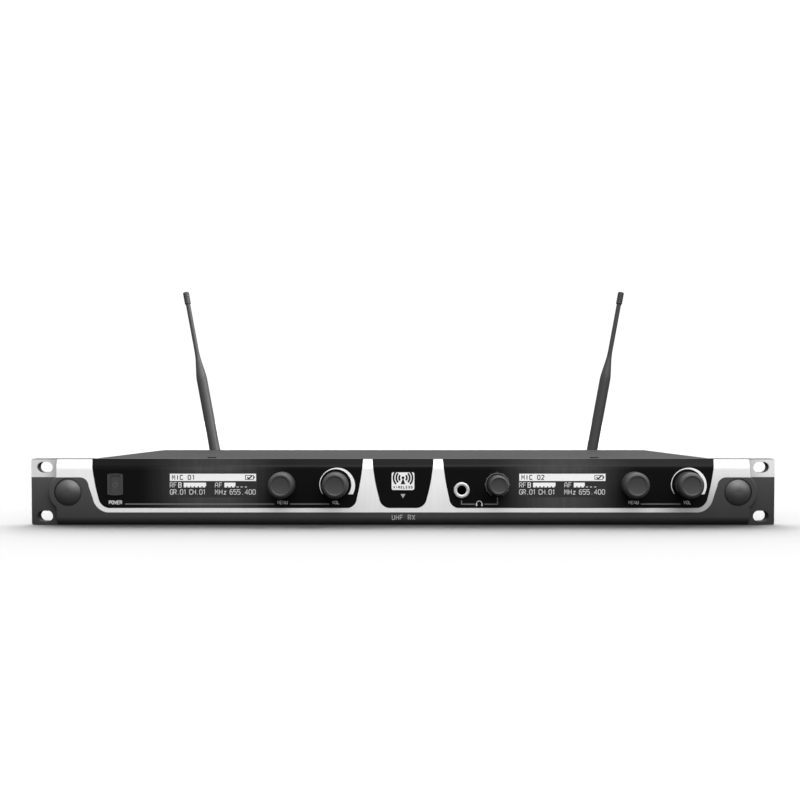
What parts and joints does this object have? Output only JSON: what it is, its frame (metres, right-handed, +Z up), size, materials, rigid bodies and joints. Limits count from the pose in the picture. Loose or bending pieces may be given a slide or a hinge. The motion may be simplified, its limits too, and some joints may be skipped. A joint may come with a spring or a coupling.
{
  "type": "wireless receiver unit",
  "caption": "Rack-mount wireless microphone receiver, one rack unit high: black glossy front windows in a silver fascia, knobs, displays, steel case and hinged whip antennas behind.",
  "frame": {"origin": "middle of the unit's width, on the surface that it stands on, in the rack's mounting plane (the rear face of the ears)", "axes": "+X to the right seen from the front, +Y towards the rear, +Z up"},
  "size_m": [0.4826, 0.249, 0.1778],
  "materials": {
    "black_steel": "fine textured black powder coat",
    "dark_moulding": "dark grey moulded, satin",
    "silver": "brushed, satin",
    "window_black": "polished black",
    "badge_white": "printed white",
    "key_plastic": "fine textured dark grey",
    "knob_plastic": "soft-touch dark grey",
    "shaft_metal": "turned",
    "board": "green solder mask",
    "tinned_steel": "tinned",
    "nickel": "bright nickel plate",
    "gold": "gold-plated contacts",
    "black_plastic": "moulded black",
    "zinc_steel": "zinc plated",
    "brass": "turned brass",
    "ribbon_grey": "flat cable",
    "coax_black": "jacketed coax",
    "whip_rubber": "moulded black elastomer"
  },
  "bodies": {
    "root": {"chassis_tray": "black_steel", "top_cover": "black_steel", "rear_panel": "black_steel", "front_subpanel": "black_steel", "front_bezel": "dark_moulding", "silver_fascia": "silver", "window_left": "window_black", "window_centre": "window_black", "window_right": "window_black", "blanking_plug_left": "dark_moulding", "blanking_plug_right": "dark_moulding", "badge": "badge_white", "power_button_frame": "key_plastic", "power_switch": "black_plastic", "display_left": "window_black", "display_right": "window_black", "encoders": "tinned_steel", "potentiometers": "tinned_steel", "control_nuts": "nickel", "headphone_jack": "black_plastic", "headphone_jack_ring": "nickel", "balanced_outputs": "nickel", "balanced_pins": "gold", "line_outputs": "black_plastic", "line_output_nuts": "nickel", "dc_inlet": "black_plastic", "cord_hook": "black_plastic", "front_board": "board", "main_board": "board", "radio_modules": "tinned_steel", "standoffs": "brass", "board_screws": "zinc_steel", "case_screws": "zinc_steel", "ribbon_cable": "ribbon_grey", "antenna_leads": "coax_black", "antenna_sockets": "nickel", "antenna_socket_nuts": "nickel"},
    "power_button": {"power_button": "key_plastic"},
    "headphone_knob": {"headphone_shaft": "shaft_metal", "headphone_knob": "knob_plastic"},
    "menu_plunger_left": {"menu_plunger_left": "black_plastic"},
    "menu_knob_left": {"menu_shaft_left": "shaft_metal", "menu_knob_left": "knob_plastic"},
    "volume_knob_left": {"volume_shaft_left": "shaft_metal", "volume_knob_left": "knob_plastic"},
    "antenna_coupling_left": {"antenna_coupling_left": "nickel"},
    "antenna_plug_left": {"antenna_plug_left": "black_plastic", "antenna_hinge_pin_left": "zinc_steel"},
    "antenna_whip_left": {"antenna_sleeve_left": "whip_rubber", "antenna_whip_left": "whip_rubber"},
    "menu_plunger_right": {"menu_plunger_right": "black_plastic"},
    "menu_knob_right": {"menu_shaft_right": "shaft_metal", "menu_knob_right": "knob_plastic"},
    "volume_knob_right": {"volume_shaft_right": "shaft_metal", "volume_knob_right": "knob_plastic"},
    "antenna_coupling_right": {"antenna_coupling_right": "nickel"},
    "antenna_plug_right": {"antenna_plug_right": "black_plastic", "antenna_hinge_pin_right": "zinc_steel"},
    "antenna_whip_right": {"antenna_sleeve_right": "whip_rubber", "antenna_whip_right": "whip_rubber"}
  },
  "joints": [
    {"name": "power_button_press", "type": "slide", "parent": "root", "child": "power_button", "axis": [0, 1, 0], "range_m": [0, 0.001], "stiffness_N_per_m": 800, "springref_m": -0.001},
    {"name": "menu_push_left", "type": "slide", "parent": "root", "child": "menu_plunger_left", "axis": [0, 1, 0], "range_m": [0, 0.0005], "stiffness_N_per_m": 2000, "springref_m": -0.001},
    {"name": "menu_turn_left", "type": "hinge", "parent": "menu_plunger_left", "child": "menu_knob_left", "pos_m": [-0.0779, -0.0112, 0.0262], "axis": [0, 1, 0], "continuous": true},
    {"name": "menu_push_right", "type": "slide", "parent": "root", "child": "menu_plunger_right", "axis": [0, 1, 0], "range_m": [0, 0.0005], "stiffness_N_per_m": 2000, "springref_m": -0.001},
    {"name": "menu_turn_right", "type": "hinge", "parent": "menu_plunger_right", "child": "menu_knob_right", "pos_m": [0.1491, -0.0112, 0.0262], "axis": [0, 1, 0], "continuous": true},
    {"name": "volume_turn_left", "type": "hinge", "parent": "root", "child": "volume_knob_left", "pos_m": [-0.0435, -0.0112, 0.0262], "axis": [0, 1, 0], "range_deg": [-150, 150]},
    {"name": "volume_turn_right", "type": "hinge", "parent": "root", "child": "volume_knob_right", "pos_m": [0.1838, -0.0112, 0.0262], "axis": [0, 1, 0], "range_deg": [-150, 150]},
    {"name": "headphone_turn", "type": "hinge", "parent": "root", "child": "headphone_knob", "pos_m": [0.061, -0.0112, 0.0262], "axis": [0, 1, 0], "range_deg": [-150, 150]},
    {"name": "antenna_lock_left", "type": "hinge", "parent": "root", "child": "antenna_coupling_left", "pos_m": [-0.15855, 0.207, 0.022], "axis": [0, 1, 0], "range_deg": [0, 90]},
    {"name": "antenna_swivel_left", "type": "hinge", "parent": "root", "child": "antenna_plug_left", "pos_m": [-0.15855, 0.21, 0.022], "axis": [0, 1, 0], "range_deg": [-79.8, 79.8]},
    {"name": "antenna_fold_left", "type": "hinge", "parent": "antenna_plug_left", "child": "antenna_whip_left", "pos_m": [-0.15855, 0.221, 0.022], "axis": [-0.9842, 0, -0.1771], "range_deg": [0, 90]},
    {"name": "antenna_lock_right", "type": "hinge", "parent": "root", "child": "antenna_coupling_right", "pos_m": [0.15855, 0.207, 0.022], "axis": [0, 1, 0], "range_deg": [0, 90]},
    {"name": "antenna_swivel_right", "type": "hinge", "parent": "root", "child": "antenna_plug_right", "pos_m": [0.15855, 0.21, 0.022], "axis": [0, 1, 0], "range_deg": [-79.8, 79.8]},
    {"name": "antenna_fold_right", "type": "hinge", "parent": "antenna_plug_right", "child": "antenna_whip_right", "pos_m": [0.15855, 0.221, 0.022], "axis": [-0.9842, 0, 0.1771], "range_deg": [0, 90]}
  ]
}
